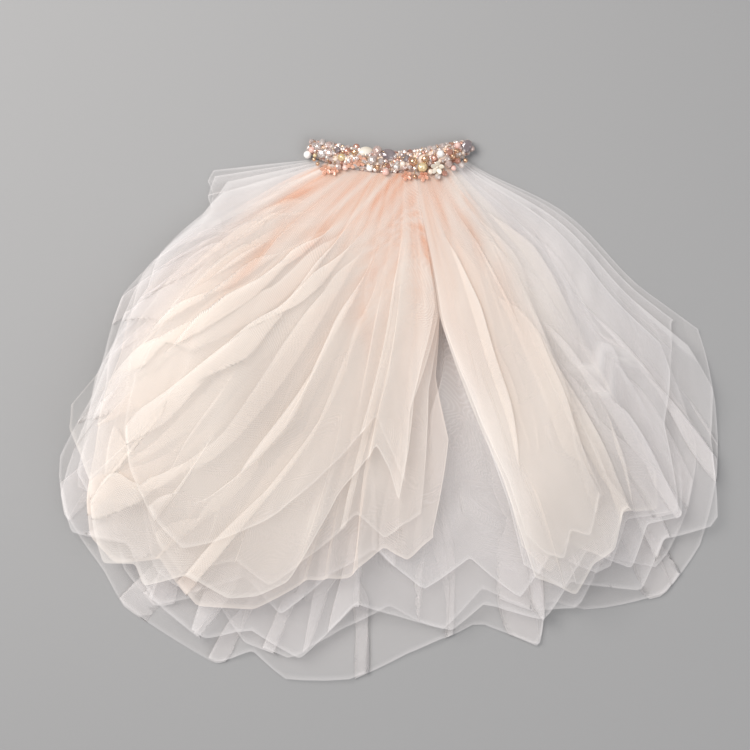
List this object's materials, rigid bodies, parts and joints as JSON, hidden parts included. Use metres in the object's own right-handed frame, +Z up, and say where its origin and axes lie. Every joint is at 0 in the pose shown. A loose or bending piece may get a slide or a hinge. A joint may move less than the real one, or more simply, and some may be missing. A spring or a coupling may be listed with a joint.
{
  "type": "bridal veil",
  "caption": "Tiered bridal veil of sheer tulle, gathered onto a beaded comb and laid out flat as a fan.",
  "frame": {"origin": "middle of the box's underside, on the surface that the veil lies on", "axes": "+Z up from that surface, +Y from the hem towards the comb, +X to the right as seen with the comb at the top"},
  "size_m": [0.5882, 0.4766, 0.0754],
  "materials": {
    "ivory_tulle": "sheer soft net",
    "blush_tulle": "sheer soft net",
    "beads": "pearls, cut crystals and petals",
    "gilt": "polished"
  },
  "bodies": {
    "root": {"lower_tier_back": "ivory_tulle", "lower_tier_front": "ivory_tulle", "upper_tier_left_back": "blush_tulle", "upper_tier_left_front": "ivory_tulle", "upper_tier_right_back": "blush_tulle", "upper_tier_right_front": "ivory_tulle", "bead_band": "beads", "comb": "gilt"}
  },
  "joints": []
}
